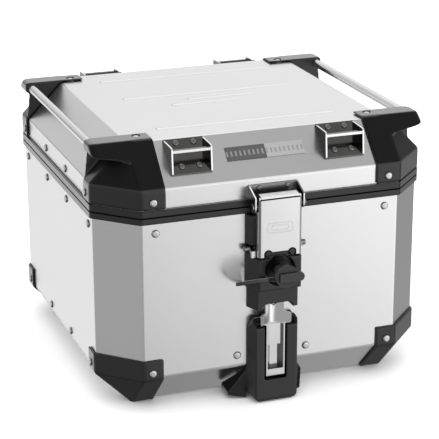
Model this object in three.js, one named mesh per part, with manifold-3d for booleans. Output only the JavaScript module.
// Motorcycle top case: a folded aluminium box with a hinged lid, a lever latch and a rack bracket.
// Millimetres, +Z up. The origin is on the ground under the middle of the case, and the latch side
// faces -Y. Round bends are arcs; pieces that touch keep a small gap between their solids.
import * as THREE from 'three';
import { mergeVertices } from 'three/addons/utils/BufferGeometryUtils.js';
import { ConvexGeometry } from 'three/addons/geometries/ConvexGeometry.js';
import Module from 'manifold-3d';

const wasm = await Module();
wasm.setup();

// ---- Driving dimensions ---------------------------------------------------------------------
const halfWidth = 210;        // box, over the aluminium, left to right
const halfDepth = 209;        // front to back
const cornerCut = 46;         // leg of the chamfer on each upright corner
const sheet = 2;              // aluminium thickness
const bendRadius = 5;         // outside radius of the folds
const gap = 0.3;              // clearance between resting pieces
const leverPinRadius = 2.5;   // pins of the latch lever and the rack lever
const pinClearance = 0.4;     // from a pin to the wall of its hole

const floorZ = 1.5;           // underside of the floor pan
const floorFold = 45;         // leg of the 45 degree fold down to the floor
const padHalf = 100;          // square pad pressed down from the floor to the ground
const topZ = 330;             // top of the lid
const lidFold = 46;           // leg of the 45 degree lid shoulder

const seamZ = 251.5;          // where lid and body meet
const rimHeight = 8.5;        // visible height of each black rim
const rimProud = 3;           // how far rims and corner pieces stand out
const seamHalf = 0.5;         // half of the open line between the two rims
const webHeight = 4;          // thickness of each rim across the sheet's edge
const webReach = 7;           // how far that part reaches inside the outer face
const panTopZ = 49;           // joint between floor pan and body wrap
const upstandTopZ = 68;       // top of the pan's inner flange
const rimSkirtZ = 224;        // lower end of the body rim's inner leg
const lidSkirtZ = 277;        // upper end of the lid rim's inner leg

const protectorEdge = 139.5;  // inner edge of the bottom corner protectors, from the middle
const protectorTopZ = 71;
const lidCornerEdge = 133.5;  // inner edge of the lid corner pieces on the front and back
const lidCornerBack = 138;    // their inner edge on the sides and on the top

const railX = 203;
const railZ = 325;
const railRadius = 5.5;

const lockZ = 174.5;          // height of the lock's axis
const lockFaceY = -234.5;     // front face of the lock housing
const leverPivot = [-227, 255];      // y, z of the latch lever's pin
const rackPivot = [-218.5, 38];      // y, z of the rack lever's pin
const rackLeverX = -1;               // the rack lever sits a little left of the middle
const rackLeverHalf = 12;            // half its width
const hingeAxis = [216.5, 251.75];   // y, z of the lid hinge's pins
const catchAxis = [-215.5, 200];     // y, z of the catch bar

// ---- Materials ------------------------------------------------------------------------------
function finish(color, roughness, metalness) {
  return new THREE.MeshStandardMaterial({ color, roughness, metalness });
}
const aluminium = finish(0xd9dadc, 0.4, 1);
const blackPlastic = finish(0x1d1d1f, 0.55, 0);
const stainless = finish(0xdcdcde, 0.22, 1);
const darkSteel = finish(0x5a5a5e, 0.2, 1);
const rubber = finish(0x141414, 0.85, 0);
const badgeGrey = finish(0x8b8c90, 0.5, 0.3);

// ---- Solids ---------------------------------------------------------------------------------
// A closed three.js geometry as a solid that can be joined and cut.
function solid(geometry) {
  geometry.deleteAttribute('normal');
  geometry.deleteAttribute('uv');
  const merged = mergeVertices(geometry, 1e-4);
  const vertProperties = merged.getAttribute('position').array;
  const triVerts = Uint32Array.from(merged.index.array);
  return new wasm.Manifold(new wasm.Mesh({ numProp: 3, vertProperties, triVerts }));
}

function surface(body) {
  const mesh = body.getMesh();
  const geometry = new THREE.BufferGeometry();
  geometry.setAttribute('position', new THREE.BufferAttribute(mesh.vertProperties, 3));
  geometry.setIndex(new THREE.BufferAttribute(mesh.triVerts, 1));
  return geometry;
}

// The same solid moved by a matrix. A mirroring matrix turns the faces over, so they are turned back.
function moved(body, matrix) {
  const geometry = surface(body);
  geometry.applyMatrix4(matrix);
  if (matrix.determinant() < 0) {
    geometry.index.array.reverse();
  }
  return solid(geometry);
}

function joined(...bodies) {
  return bodies.reduce((whole, next) => whole.add(next));
}

function block([x0, x1], [y0, y1], [z0, z1]) {
  const geometry = new THREE.BoxGeometry(x1 - x0, y1 - y0, z1 - z0);
  geometry.translate((x0 + x1) / 2, (y0 + y1) / 2, (z0 + z1) / 2);
  return solid(geometry);
}

// A closed outline through points [a, b] or [a, b, radius]; a radius rounds that corner.
function outline(points) {
  const shape = new THREE.Shape();
  points.forEach(([a, b, radius = 0], i) => {
    const corner = new THREE.Vector2(a, b);
    const before = new THREE.Vector2(...points.at(i - 1)).sub(corner);
    const after = new THREE.Vector2(...points[(i + 1) % points.length]).sub(corner);
    const turn = Math.PI - before.angleTo(after);
    const reach = radius * Math.tan(turn / 2);
    const start = corner.clone().addScaledVector(before.normalize(), reach);
    const end = corner.clone().addScaledVector(after.normalize(), reach);
    if (i === 0) {
      shape.moveTo(start.x, start.y);
    } else {
      shape.lineTo(start.x, start.y);
    }
    if (radius > 0) {
      shape.quadraticCurveTo(corner.x, corner.y, end.x, end.y);
    }
  });
  return shape;
}

// The other half of an outline that is the same on both sides of the first axis's zero.
function mirroredHalf(points) {
  return points.map(([a, b, radius]) => [-a, b, radius]);
}

function extruded(points, depth) {
  return new THREE.ExtrudeGeometry(outline(points), { depth, bevelEnabled: false, curveSegments: 3 });
}

const xAxis = new THREE.Vector3(1, 0, 0);
const yAxis = new THREE.Vector3(0, 1, 0);
const zAxis = new THREE.Vector3(0, 0, 1);

// Outline in (y, z), run from x0 to x1.
function prismX(points, [x0, x1]) {
  const turn = new THREE.Matrix4().makeBasis(yAxis, zAxis, xAxis);
  return solid(extruded(points, x1 - x0).applyMatrix4(turn).translate(x0, 0, 0));
}

// Outline in (x, z), run from y0 to y1.
function prismY(points, [y0, y1]) {
  const turn = new THREE.Matrix4().makeBasis(xAxis, zAxis, yAxis.clone().negate());
  return solid(extruded(points, y1 - y0).applyMatrix4(turn).translate(0, y1, 0));
}

// Outline in (x, y), run from z0 to z1.
function prismZ(points, [z0, z1]) {
  return solid(extruded(points, z1 - z0).translate(0, 0, z0));
}

// Round bar along X, between x0 and x1, through (y, z).
function rodX([y, z], [x0, x1], radius, sides = 16) {
  const geometry = new THREE.CylinderGeometry(radius, radius, x1 - x0, sides);
  geometry.rotateZ(Math.PI / 2);
  geometry.translate((x0 + x1) / 2, y, z);
  return solid(geometry);
}

// Round bar along Y, between y0 and y1, through (x, z). The radius can differ at its two ends.
function rodY([x, z], [y0, y1], radius, sides = 24, farRadius = radius) {
  const geometry = new THREE.CylinderGeometry(farRadius, radius, y1 - y0, sides);
  geometry.translate(x, (y0 + y1) / 2, z);
  return solid(geometry);
}

function hull(points) {
  return solid(new ConvexGeometry(points.map((point) => new THREE.Vector3(...point))));
}

// ---- The folded box form --------------------------------------------------------------------
const mitre = Math.tan(Math.PI / 8);   // an edge between faces 45 degrees apart moves by this
const farAway = 500;

// Bend radius of an offset surface; one far inside the sheet keeps a small radius.
function bend(grow) {
  return Math.max(bendRadius + grow, 1);
}

// The case's outside, grown outwards by a distance: a box with chamfered upright corners whose walls
// fold in by 45 degrees to one flat face. wall is +1 when the walls rise from the flat face.
function foldedForm(flatZ, fold, wall, grow) {
  const radius = bend(grow);
  const profile = (half) => [
    [-half - grow, flatZ + wall * farAway],
    [-half - grow, flatZ + wall * (fold - grow * mitre), radius],
    [-half + fold - grow * mitre, flatZ - wall * grow, radius],
    [half - fold + grow * mitre, flatZ - wall * grow, radius],
    [half + grow, flatZ + wall * (fold - grow * mitre), radius],
    [half + grow, flatZ + wall * farAway],
  ];
  const across = [-farAway, farAway];
  let form = prismZ(planOctagon(grow), across)
    .intersect(prismY(profile(halfWidth), across))
    .intersect(prismX(profile(halfDepth), across));
  for (const side of [-1, 1]) {
    for (const end of [-1, 1]) {
      form = form.subtract(beyondCornerFacet(flatZ, fold, wall, grow, side, end));
    }
  }
  return form;
}

function planOctagon(grow) {
  const x = halfWidth + grow;
  const y = halfDepth + grow;
  const innerX = halfWidth - cornerCut + grow * mitre;
  const innerY = halfDepth - cornerCut + grow * mitre;
  const quarter = [[x, -innerY], [x, innerY], [innerX, y], [-innerX, y]];
  const whole = [...quarter, ...quarter.map(([a, b]) => [-a, -b])];
  return whole.map(([a, b]) => [a, b, bend(grow)]);
}

// The space outside the flat three-cornered facet that closes each folded corner.
function beyondCornerFacet(flatZ, fold, wall, grow, side, end) {
  const wallZ = flatZ + wall * fold;
  const a = new THREE.Vector3(side * (halfWidth - cornerCut), end * halfDepth, wallZ);
  const b = new THREE.Vector3(side * halfWidth, end * (halfDepth - cornerCut), wallZ);
  const c = new THREE.Vector3(side * (halfWidth - fold), end * (halfDepth - fold), flatZ);
  const outward = new THREE.Plane().setFromCoplanarPoints(a, b, c).normal;
  outward.multiplyScalar(Math.sign(outward.x * side));
  const size = 200;
  const geometry = new THREE.BoxGeometry(size, size, size);
  geometry.applyQuaternion(new THREE.Quaternion().setFromUnitVectors(zAxis, outward));
  const middle = a.addScaledVector(outward, size / 2 + grow);
  geometry.translate(middle.x, middle.y, middle.z);
  return solid(geometry);
}

const bodyForm = (grow) => foldedForm(floorZ, floorFold, 1, grow);
const lidForm = (grow) => foldedForm(topZ, lidFold, -1, grow);

function slab([z0, z1]) {
  return block([-farAway, farAway], [-farAway, farAway], [z0, z1]);
}

// A skin between two offsets of a form, between two heights.
function skin(form, outer, inner, heights) {
  return form(outer).subtract(form(inner)).intersect(slab(heights));
}

// ---- Rivets ---------------------------------------------------------------------------------
const shankRadius = 2;
const rivetHeadRadius = 3.8;
const rivetHeadHeight = 1.5;
const stripDepth = 2 * sheet + 2 * gap;   // inner face of the double wall, from the outside

// Each row: the wall it is on, and rivets as [along the wall, height, proud], where proud is how far
// the piece under the head stands out of the aluminium. A row shares one thin strip inside the wall.
const wallTurn = { front: 0, right: Math.PI / 2, rear: Math.PI, left: -Math.PI / 2 };
const wallDistance = { front: halfDepth, right: halfWidth, rear: halfDepth, left: halfWidth };

function mirroredRow(along, height, proud = 0) {
  return [[-along, height, proud], [along, height, proud]];
}

const mouthRivetZ = 230.7;
const sideMouthRow = [...mirroredRow(47, mouthRivetZ), ...mirroredRow(146, mouthRivetZ)];
const endMouthRow = mirroredRow(146.5, mouthRivetZ);
const sideFloorRow = [...mirroredRow(48, 54.5), ...mirroredRow(150, 54.5, rimProud)];
const endFloorRow = [...mirroredRow(45, 61.4), ...mirroredRow(153.5, 55.2, rimProud)];
const sideLidRow = [...mirroredRow(47, 270), ...mirroredRow(146, 270, rimProud)];
const endLidRow = mirroredRow(149.5, 269.5, rimProud);

function rivetRow(wall, spots) {
  const face = -wallDistance[wall];
  const inside = face + stripDepth;
  const along = spots.map((spot) => spot[0]);
  const heights = spots.map((spot) => spot[1]);
  const margin = 4;
  const stripThickness = 1.2;
  let row = block(
    [Math.min(...along) - margin, Math.max(...along) + margin],
    [inside + gap, inside + gap + stripThickness],
    [Math.min(...heights) - margin, Math.max(...heights) + margin],
  );
  for (const [a, z, proud] of spots) {
    const seat = face - proud - gap;
    row = joined(
      row,
      rodY([a, z], [seat - rivetHeadHeight, seat], rivetHeadRadius * 0.6, 8, rivetHeadRadius),
      rodY([a, z], [seat - rivetHeadHeight / 2, inside + gap + stripThickness / 2], shankRadius, 6),
    );
  }
  return row;
}

// The clearance holes of a row, where the walls stand.
function rivetHoles(wall, spots) {
  const face = -wallDistance[wall];
  const holes = spots.map(([a, z]) => rodY([a, z], [face - 6, face + 8], shankRadius + 0.4, 6));
  return moved(joined(...holes), new THREE.Matrix4().makeRotationZ(wallTurn[wall]));
}

function holesOnAllWalls(sideSpots, endSpots) {
  return joined(
    rivetHoles('left', sideSpots),
    rivetHoles('right', sideSpots),
    rivetHoles('front', endSpots),
    rivetHoles('rear', endSpots),
  );
}

const mouthHoles = holesOnAllWalls(sideMouthRow, endMouthRow);
const floorHoles = holesOnAllWalls(sideFloorRow, endFloorRow);
const lidHoles = holesOnAllWalls(sideLidRow, endLidRow);

// ---- Body shells and rims -------------------------------------------------------------------
function bodyWrap() {
  const wrapTopZ = seamZ - seamHalf - webHeight - gap;
  return skin(bodyForm, 0, -sheet, [panTopZ + gap, wrapTopZ])
    .subtract(mouthHoles)
    .subtract(floorHoles);
}

function floorPan() {
  const lipZ = panTopZ - 9;
  const inner = -2 * sheet - gap;
  const tray = skin(bodyForm, 0, -sheet, [0, panTopZ]);
  const lip = skin(bodyForm, 0, inner, [lipZ, panTopZ]);
  const upstand = skin(bodyForm, -sheet - gap, inner, [lipZ, upstandTopZ]);
  return joined(tray, lip, upstand, squarePad(padHalf, [0, floorZ + sheet]))
    .subtract(squarePad(padHalf - sheet, [sheet, floorZ + 2 * sheet]))
    .subtract(floorHoles);
}

function squarePad(half, heights) {
  const corners = [[-half, -half, 12], [half, -half, 12], [half, half, 12], [-half, half, 12]];
  return prismZ(corners, heights);
}

// A rim channel that grips the sheet's edge: an outer lip, a web, and an inner leg that is riveted.
// Each of the three runs from the seam to its own height.
function rimChannel(form, edgeZ, lipZ, webZ, legZ) {
  const upTo = (z) => [Math.min(edgeZ, z), Math.max(edgeZ, z)];
  return joined(
    skin(form, rimProud, gap, upTo(lipZ)),
    skin(form, rimProud, -webReach, upTo(webZ)),
    skin(form, -sheet - gap, -2 * sheet - gap, upTo(legZ)),
  );
}

function bodyRim() {
  const top = seamZ - seamHalf;
  return rimChannel(bodyForm, top, seamZ - rimHeight, top - webHeight, rimSkirtZ)
    .subtract(mouthHoles);
}

function lidRim() {
  const bottom = seamZ + seamHalf;
  return rimChannel(lidForm, bottom, seamZ + rimHeight, bottom + webHeight, lidSkirtZ)
    .subtract(lidHoles);
}

// The rubber hangs inside both rims, so it clears the body rim when the lid swings up.
function lidSeal() {
  const outer = -webReach - 0.4;
  return skin(lidForm, outer, outer - 3.6, [seamZ - 4.5, seamZ + 4]);
}

// Ribs pressed into the top: two ends across, and a place from front to back.
const ribHeight = 1;
const ribWidth = 10;
const longRibs = [[-115, 115, -120], [-112, 112, 25], [-115, 115, 120]];
const shortRibs = [[-62, 26, -22], [-34, 54, -2]];

function topRib([x0, x1, y]) {
  const foot = ribWidth / 2;
  const crest = ribWidth / 10;
  const sunkZ = topZ - sheet / 2;
  const crestZ = topZ + ribHeight;
  return prismX(
    [
      [y - foot, topZ],
      [y - foot, sunkZ],
      [y + foot, sunkZ],
      [y + foot, topZ],
      [y + crest, crestZ],
      [y - crest, crestZ],
    ],
    [x0, x1],
  );
}

function lidShell() {
  const panel = skin(lidForm, 0, -sheet, [seamZ + seamHalf + webHeight + gap, topZ]);
  const ribs = [...longRibs, ...shortRibs].map(topRib);
  return joined(panel, ...ribs).subtract(lidHoles);
}

// ---- Corner pieces, modelled at the front left ----------------------------------------------
function bottomProtector() {
  const corner = block([-farAway, -protectorEdge], [-farAway, -protectorEdge], [0, protectorTopZ]);
  return bodyForm(rimProud)
    .subtract(bodyForm(gap))
    .intersect(corner)
    .subtract(floorHoles);
}

// Black cover over a lid corner, with a lifting flange on the top and an arm that carries the rail.
function lidCorner() {
  const bottomZ = seamZ + rimHeight + gap;
  const zone = block([-farAway, -lidCornerEdge], [-farAway, -lidCornerBack], [bottomZ, topZ + rimProud]);
  const cover = lidForm(rimProud).intersect(zone);
  const armTopZ = topZ + rimProud;
  // Front face of the arm: the shoulder's own slope, at the cover's surface.
  const frontY = (z) => z - topZ - halfDepth + lidFold - rimProud * Math.SQRT2;
  const armSection = (x, bottom, inset) => [
    [x, -lidCornerBack - inset / 2, armTopZ - inset],
    [x, frontY(armTopZ) + inset * 2, armTopZ - inset],
    [x, frontY(bottom) + inset * 2, bottom + inset],
    [x, -lidCornerBack - inset / 2, bottom + inset],
  ];
  const armEndX = -(railX + railRadius + 3);
  const armEndBottomZ = railZ - railRadius - 1;
  const arm = hull([
    ...armSection(-158, 311, 0),
    ...armSection(armEndX + 6, armEndBottomZ, 0),
    ...armSection(armEndX + 2, armEndBottomZ, 1),
    ...armSection(armEndX, armEndBottomZ, 3),
  ]);
  const webThickness = 3;
  const web = prismY(
    [
      [-halfWidth + lidFold - 8, topZ],
      [armEndX + 5, railZ],
      [-halfWidth - 1, topZ - lidFold + 1],
      [-halfWidth + 12, topZ - lidFold + 1],
    ],
    [-lidCornerBack - webThickness, -lidCornerBack],
  );
  const flangeHole = solid(
    new THREE.CylinderGeometry(4.5, 4.5, 20, 16).rotateX(Math.PI / 2).translate(-149, -146.5, topZ),
  );
  return joined(cover, arm, web)
    .subtract(lidForm(gap))
    .subtract(flangeHole)
    .subtract(lidHoles);
}

// ---- Lid fittings ---------------------------------------------------------------------------
// A point on the front shoulder: down the slope from its top edge, and out from its face.
function onShoulder(down, out) {
  const topY = -(halfDepth - lidFold);
  return [topY - (down + out) / Math.SQRT2, topZ + (out - down) / Math.SQRT2];
}

// The two side plates of a bracket or lever, at both ends of its width.
function cheekPair(profile, half, thick) {
  return [prismX(profile, [-half, -half + thick]), prismX(profile, [half - thick, half])];
}

function strapBracket() {
  const half = 25.2;
  const thick = 2;
  const back = onShoulder(2.3, gap);
  const foot = onShoulder(49.5, gap);
  const plate = prismX(
    [back, foot, onShoulder(49.5, gap + thick), onShoulder(2.3, gap + thick)],
    [-half, half],
  );
  const barY = [-197.2, -191.5];
  const barZ = [321.4, 324.6];
  const cheekProfile = [back, foot, [-199.6, foot[1] + 2], [barY[0], barZ[1] + 3, 3], [-166.5, topZ - 1]];
  const bar = block([-half + thick / 2, half - thick / 2], barY, barZ);
  return joined(plate, bar, ...cheekPair(cheekProfile, half, thick));
}

function badgePlate() {
  const thickness = 0.8;
  return prismX(
    [onShoulder(20.4, gap), onShoulder(38.6, gap), onShoulder(38.6, gap + thickness),
      onShoulder(20.4, gap + thickness)],
    [-50, 49],
  );
}

function haspBracket() {
  const half = 31.5;
  const thick = 2;
  const backY = -halfDepth - gap;
  const bandZ = [seamZ + rimHeight + gap, 277];
  const plate = block([-half, half], [backY - 1.5, backY], bandZ);
  const cheekProfile = [
    [backY, bandZ[1]],
    [backY, bandZ[0]],
    [-halfDepth - rimProud - gap, bandZ[0]],
    [-halfDepth - rimProud - gap, 249],
    [-224, 247, 4],
    [-232, 250, 6],
    [-232, 267.5],
  ];
  return joined(plate, ...cheekPair(cheekProfile, half, thick))
    .subtract(rodX(leverPivot, [-40, 40], leverPinRadius + pinClearance));
}

function headedPin(centre, reach, radius) {
  const headRadius = radius + 1.8;
  const headHeight = 2;
  return joined(
    rodX(centre, [-reach, reach], radius),
    rodX(centre, [-reach - headHeight, -reach], headRadius),
    rodX(centre, [reach, reach + headHeight], headRadius),
  );
}

function sideRail() {
  const length = 2 * (lidCornerBack - gap);
  return solid(new THREE.CylinderGeometry(railRadius, railRadius, length, 20));
}

// ---- Latch ----------------------------------------------------------------------------------
function latchLever() {
  const half = 27.4;
  const thick = 1.8;
  const frontY = -234;
  const [pivotY, pivotZ] = leverPivot;
  const bottomZ = 193;
  const plateTopZ = 264;
  // One sheet folded round the front: its plan is a U, trimmed to the outline seen from the side.
  const bendY = -200;
  const foldedPlan = (inset, radius) => [
    [-half + inset, bendY],
    [-half + inset, frontY + inset, radius],
    [half - inset, frontY + inset, radius],
    [half - inset, bendY],
  ];
  const heights = [bottomZ, plateTopZ];
  const sideOutline = [
    [frontY, bottomZ],
    [frontY, plateTopZ],
    [frontY + 3, plateTopZ],
    [pivotY + 2, pivotZ + 7, 3],
    [pivotY + 5.5, pivotZ, 3],
    [-222.4, bottomZ],
  ];
  const folded = prismZ(foldedPlan(0, 3), heights)
    .subtract(prismZ(foldedPlan(thick, 1.2), [bottomZ - 1, plateTopZ + 1]))
    .intersect(prismX(sideOutline, [-half, half]));
  const spineX = [-half + thick / 2, half - thick / 2];
  const spine = block(spineX, [frontY + 1.5, frontY + 4], [plateTopZ - 6, plateTopZ + 3.5]);
  // The top turns back over the pin; a narrow groove parts it from the front plate.
  const topFlange = prismX(
    [[frontY + 0.8, plateTopZ + 1.6], [-224, 267.6], [-223.5, 269.5], [frontY + 1.2, plateTopZ + 3.6]],
    [-half + 3.5, half - 3.5],
  );
  const notch = joined(
    block([-20.5, 20.5], [frontY - 1, frontY + 3], [bottomZ - 1, bottomZ + 6]),
    rodY([-bossX, bossZ], [frontY - 1, frontY + 3], bossRadius + 1.4, 20),
    rodY([bossX, bossZ], [frontY - 1, frontY + 3], bossRadius + 1.4, 20),
  );
  return joined(folded, spine, topFlange)
    .subtract(notch)
    .subtract(rodX(leverPivot, [-40, 40], leverPinRadius + pinClearance));
}

const bossX = 15.2;
const bossZ = 196.8;
const bossRadius = 4;
const cupRadius = 19;

// Plan of a housing that tapers from the wall to its front face.
function taperedPlan(rootHalf, faceHalf, faceY) {
  const rootY = -halfDepth - gap;
  return [[-rootHalf, rootY], [-faceHalf, faceY, 1.5], [faceHalf, faceY, 1.5], [rootHalf, rootY]];
}

function lockHousing() {
  const bottomZ = 123.5;
  const ledgeZ = 150.3;
  const faceTopZ = 191;
  const cheekTopZ = seamZ - rimHeight - gap - 0.3;
  const lower = prismZ(taperedPlan(33.5, 26, -227), [bottomZ, ledgeZ]);
  const upper = prismZ(taperedPlan(36, 27, lockFaceY), [ledgeZ, faceTopZ]);
  const crown = block([-19, 19], [-232, -222], [faceTopZ - 1, 197.5]);
  const cheeks = prismZ(taperedPlan(35.5, 31.5, -221.6), [faceTopZ - 1, cheekTopZ]);
  const bosses = joined(
    rodY([-bossX, bossZ], [lockFaceY, -222], bossRadius),
    rodY([bossX, bossZ], [lockFaceY, -222], bossRadius),
  );
  const archTopZ = 130.3;
  const archHalf = [[25, 100], [19, archTopZ - 2.3, 3], [14, archTopZ]];
  const arch = prismY([...mirroredHalf(archHalf), ...archHalf.toReversed()], [-240, -211]);
  const cup = rodY([0, lockZ], [-240, -225], cupRadius, 32);
  const [catchY, catchZ] = catchAxis;
  const catchSlot = block([-60, 60], [catchY - 8, catchY + 5.4], [catchZ - 5.4, catchZ + 5.4]);
  return joined(upper, cheeks)
    .subtract(catchSlot)
    .add(joined(lower, crown, bosses))
    .subtract(arch)
    .subtract(cup);
}

// A square bar on a round rod, with an ear at each end that reaches forward beside the latch lever.
function catchBar() {
  const [y, z] = catchAxis;
  const ear = [
    [y - 10.5, z - 8.6],
    [y - 10.5, z - 0.5, 1.5],
    [y - 2, z + 2.5],
    [y - 2, z - 4],
    [y - 6.4, z - 4.6],
    [y - 6.4, z - 8.6],
  ];
  const earX = [28.3, 33];
  return joined(
    block([-27, 27], [y - 4.8, y + 4.8], [z - 4.8, z + 4.8]),
    rodX(catchAxis, [-39, 39], 3.5),
    prismX(ear, earX),
    prismX(ear, [-earX[1], -earX[0]]),
  );
}

function lockBackingPlate() {
  const outerY = -halfDepth + sheet + gap;
  return block([-35, 35], [outerY, outerY + 2], [74, 220]);
}

function lockBarrel() {
  const drum = rodY([0, lockZ], [-229, -225.3], 15, 32);
  const slot = block([-1.2, 1.2], [-230, -227.5], [lockZ - 5, lockZ + 5]);
  return drum.subtract(slot);
}

// Key with a round collar and a ribbed grip that reaches further to one side.
function lockKey() {
  const gripY = [-261, -256.5];
  const stem = rodY([0, lockZ], [-252.5, -229.3], 6, 20);
  const collar = rodY([0, lockZ], [-257, -252], 14, 32);
  const gripHalf = 5.6;
  const gripEndX = 15;
  const grip = block([-10.5, gripEndX], gripY, [lockZ - gripHalf, lockZ + gripHalf]);
  const gripEnd = rodY([gripEndX, lockZ], gripY, gripHalf, 20);
  return joined(stem, collar, grip, gripEnd);
}

// A round cap that lies open beside the lock, tilted up at its free edge. It is cut back where it
// would meet the housing as it folds up.
function dustFlap() {
  const radius = 24;
  const thick = 4.4;
  const disc = new THREE.CylinderGeometry(radius, radius, thick, 36);
  const facing = new THREE.Vector3(0, 0.4, 0.91).normalize();
  disc.applyQuaternion(new THREE.Quaternion().setFromUnitVectors(yAxis, facing));
  disc.translate(-30.5, -232.6, 163.8);
  const clearOfHousing = prismZ(taperedPlan(38.5, 29.5, lockFaceY - 3.3), [100, 240]);
  return solid(disc).subtract(clearOfHousing);
}

// ---- Rack bracket ---------------------------------------------------------------------------
function rackBracket() {
  const rootY = -halfDepth - 0.5;
  const frontY = -225.5;
  const profile = [
    [rootY, 104],
    [rootY, panTopZ - 2.5],
    [-170, 6],
    [-170, 0.5],
    [-221.5, 0.5, 2],
    [frontY, 4, 2],
    [frontY, 98.5],
    [-218, 110, 2],
    [-213, 110, 2],
  ];
  const planHalf = [[33.5, -160], [33.5, rootY], [27, frontY, 1.5]];
  const plan = [...mirroredHalf(planHalf), ...planHalf.toReversed()];
  const frontHalf = [[22, 0], [34, 14], [34, 94, 8], [26, 111, 4]];
  const front = [...mirroredHalf(frontHalf), ...frontHalf.toReversed()];
  const body = prismX(profile, [-40, 40])
    .intersect(prismZ(plan, [0, 120]))
    .intersect(prismY(front, [-240, -160]));
  const slotHalf = rackLeverHalf + 2.2;
  const slot = block([rackLeverX - slotHalf, rackLeverX + slotHalf], [-240, -211.5], [30.3, 130]);
  const headRoom = block([-24, 24], [-240, -218.3], [100.4, 130]);
  const longTip = [[-177, 5], [-203, 7], [-203, 10], [-179, 14]];
  const shortTip = [[-199, 6], [-211, 6], [-214, 33], [-209, 34]];
  return joined(body, bracketWing(-31, -55, longTip), bracketWing(31, 37.5, shortTip))
    .subtract(slot)
    .subtract(headRoom)
    .subtract(rodX(rackPivot, [-22.4, 22.4], leverPinRadius + pinClearance));
}

// A wing that follows the underside's fold and tapers from the bracket to its own tip outline.
function bracketWing(rootX, tipX, tip) {
  const root = [[-177, 0.8], [-205, 0.8], [-212, 44], [-209.8, 45.8]];
  return hull([
    ...root.map(([y, z]) => [rootX, y, z]),
    ...tip.map(([y, z]) => [tipX, y, z]),
  ]);
}

// Steel lever that turns on a pin near its foot: a channel open to the front, deeper in its lower
// half, below a forked head with wings that are bent forward.
function rackLever() {
  const frontY = -224.5;
  const half = rackLeverHalf;
  const footZ = 33.8;
  const neckZ = 101;
  const bar = prismX(
    [[frontY, footZ, 2], [frontY, neckZ], [-214, neckZ], [-213.5, footZ, 2]],
    [-half, half],
  );
  const webHalf = 5;
  const webY = -216.9;
  const grooveHalf = half - 1.8;
  const deepGroove = leverGroove(frontY, grooveHalf, webY, webHalf, [43.5, 74]);
  const shallowGroove = leverGroove(frontY, grooveHalf, -220, 8, [73, neckZ + 1]);
  const headTopZ = 128.8;
  const headHalf = [
    [half, neckZ - 1],
    [19.5, neckZ + 1, 1.5],
    [20, 114, 1.5],
    [half, 116.5],
    [half, headTopZ, 2],
    [8.5, headTopZ, 2],
  ];
  const headFront = [...headHalf, [0, 123.5, 2], ...mirroredHalf(headHalf).toReversed()];
  const thick = 2.2;
  const bentHalf = [[webHalf, webY], [20, -225.5], [21, -225.5 + thick], [webHalf + 0.7, webY + thick]];
  const head = prismY(headFront, [-230, -210])
    .intersect(prismZ([...bentHalf, ...mirroredHalf(bentHalf).toReversed()], [neckZ - 2, 130]));
  return joined(bar.subtract(deepGroove).subtract(shallowGroove), head)
    .subtract(rodX(rackPivot, [-20, 20], leverPinRadius + pinClearance));
}

// The open inside of the lever's channel: sloping sides down to a narrower flat web.
function leverGroove(frontY, frontHalf, webY, webHalf, heights) {
  const halfPlan = [[frontHalf, frontY - 1], [frontHalf, frontY], [webHalf, webY, 0.8]];
  return prismZ([...mirroredHalf(halfPlan), ...halfPlan.toReversed()], heights);
}

// ---- Rear hinges, modelled in the middle of the back ----------------------------------------
const hingeHalf = 30;
const knuckleRadius = 4.1;
const knuckleHalf = 10;
const leafThick = 2;

// A leaf on the wall that steps out over its rim to the knuckles. way is -1 for the body's leaf.
function hingeLeaf(way, knuckles) {
  const [pinY, pinZ] = hingeAxis;
  const wallY = halfDepth + gap;
  const rimY = halfDepth + rimProud + gap;
  const height = (distance) => pinZ + way * distance;
  const leafProfile = [
    [wallY, height(36)],
    [wallY + leafThick, height(36)],
    [wallY + leafThick, height(12.5)],
    [rimY + leafThick, height(9.5)],
    [rimY + leafThick, height(1)],
    [rimY, height(1)],
    [rimY, height(9.4)],
    [wallY, height(9.4)],
  ];
  let leaf = prismX(leafProfile, [-hingeHalf, hingeHalf]);
  // Room for the other leaf's knuckles.
  const outerEnd = hingeHalf + 1;
  const thirds = [[-outerEnd, -knuckleHalf], [-knuckleHalf, knuckleHalf], [knuckleHalf, outerEnd]];
  for (const [x0, x1] of thirds) {
    const centre = (x0 + x1) / 2;
    const belongs = knuckles.some((knuckle) => knuckle[0] < centre && centre < knuckle[1]);
    if (!belongs) {
      const room = knuckleRadius + 1.4;
      leaf = leaf.subtract(block([x0 - 0.2, x1 + 0.2], [rimY - 1, pinY + 9], [pinZ - room, pinZ + room]));
    }
  }
  for (const knuckle of knuckles) {
    leaf = leaf.add(rodX(hingeAxis, knuckle, knuckleRadius));
  }
  return leaf.subtract(rodX(hingeAxis, [-60, 60], 2.3));
}

function hingeBodyLeaf() {
  return hingeLeaf(-1, [[-knuckleHalf + 0.2, knuckleHalf - 0.2]]);
}

function hingeLidLeaf() {
  return hingeLeaf(1, [[-hingeHalf, -knuckleHalf - 0.2], [knuckleHalf + 0.2, hingeHalf]]);
}

function hingePin() {
  return rodX(hingeAxis, [-hingeHalf - 1, hingeHalf + 1], 2);
}

// ---- Assembly -------------------------------------------------------------------------------
function piece(parent, name, body, material) {
  const mesh = new THREE.Mesh(surface(body), material);
  mesh.name = name;
  parent.add(mesh);
  return mesh;
}

const topCase = new THREE.Group();
const base = new THREE.Group();
const lid = new THREE.Group();
topCase.add(base, lid);

// The four corners, each as a mirror image or a half turn of the front left one.
function cornerSet(parent, prefix, frontLeft, material) {
  for (const [end, endSign] of [['front', 1], ['rear', -1]]) {
    for (const [side, sideSign] of [['left', 1], ['right', -1]]) {
      const place = new THREE.Matrix4().makeScale(sideSign, endSign, 1);
      piece(parent, `${prefix}_${end}_${side}`, moved(frontLeft, place), material);
    }
  }
}

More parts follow.
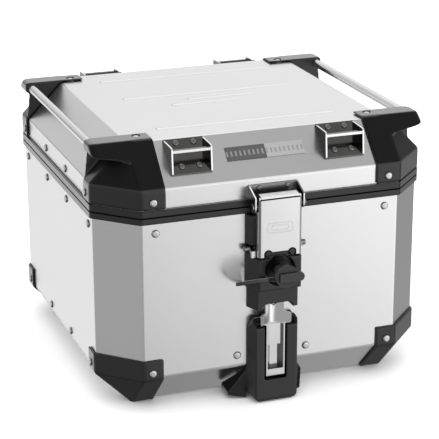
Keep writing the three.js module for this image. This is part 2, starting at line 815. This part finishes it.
function rivetSet(parent, prefix, sideSpots, endSpots) {
  for (const [wall, turn] of Object.entries(wallTurn)) {
    const spots = wall === 'left' || wall === 'right' ? sideSpots : endSpots;
    const row = piece(parent, `${prefix}_${wall}`, rivetRow(wall, spots), aluminium);
    row.rotation.z = turn;
  }
}

piece(base, 'body_wrap', bodyWrap(), aluminium);
piece(base, 'floor_pan', floorPan(), aluminium);
piece(base, 'body_rim', bodyRim(), blackPlastic);
cornerSet(base, 'bottom_protector', bottomProtector(), blackPlastic);
rivetSet(base, 'rivets_mouth', sideMouthRow, endMouthRow);
rivetSet(base, 'rivets_floor', sideFloorRow, endFloorRow);
piece(base, 'lock_housing', lockHousing(), blackPlastic);
piece(base, 'lock_backing_plate', lockBackingPlate(), darkSteel);
piece(base, 'catch_bar', catchBar(), stainless);
piece(base, 'rack_bracket', rackBracket(), blackPlastic);
piece(base, 'rack_lever', rackLever(), stainless).position.x = rackLeverX;
piece(base, 'rack_lever_pin', rodX(rackPivot, [-22, 22], leverPinRadius), darkSteel);
piece(base, 'lock_barrel', lockBarrel(), darkSteel);
piece(base, 'key', lockKey(), blackPlastic);
piece(base, 'dust_flap', dustFlap(), rubber);

piece(lid, 'lid_shell', lidShell(), aluminium);
piece(lid, 'lid_rim', lidRim(), blackPlastic);
piece(lid, 'lid_seal', lidSeal(), rubber);
cornerSet(lid, 'lid_corner', lidCorner(), blackPlastic);
rivetSet(lid, 'rivets_lid', sideLidRow, endLidRow);
piece(lid, 'badge_plate', badgePlate(), badgeGrey);
piece(lid, 'hasp_bracket', haspBracket(), darkSteel);
piece(lid, 'latch_pin', headedPin(leverPivot, 31.8, leverPinRadius), darkSteel);
piece(lid, 'latch_lever', latchLever(), stainless);

const bracketX = 97;
const hingeX = 100;
for (const [side, sign] of [['left', -1], ['right', 1]]) {
  const rail = piece(lid, `side_rail_${side}`, sideRail(), stainless);
  rail.position.set(sign * railX, 0, railZ);

  const frontBracket = piece(lid, `strap_bracket_front_${side}`, strapBracket(), darkSteel);
  frontBracket.position.x = sign * bracketX;
  const rearBracket = piece(lid, `strap_bracket_rear_${side}`, strapBracket(), darkSteel);
  rearBracket.position.x = sign * bracketX;
  rearBracket.rotation.z = Math.PI;

  const bodyLeaf = piece(base, `hinge_body_leaf_${side}`, hingeBodyLeaf(), darkSteel);
  const lidLeaf = piece(lid, `hinge_lid_leaf_${side}`, hingeLidLeaf(), darkSteel);
  const pin = piece(base, `hinge_pin_${side}`, hingePin(), darkSteel);
  for (const hingePiece of [bodyLeaf, lidLeaf, pin]) {
    hingePiece.position.x = sign * hingeX;
  }
}

export default topCase;
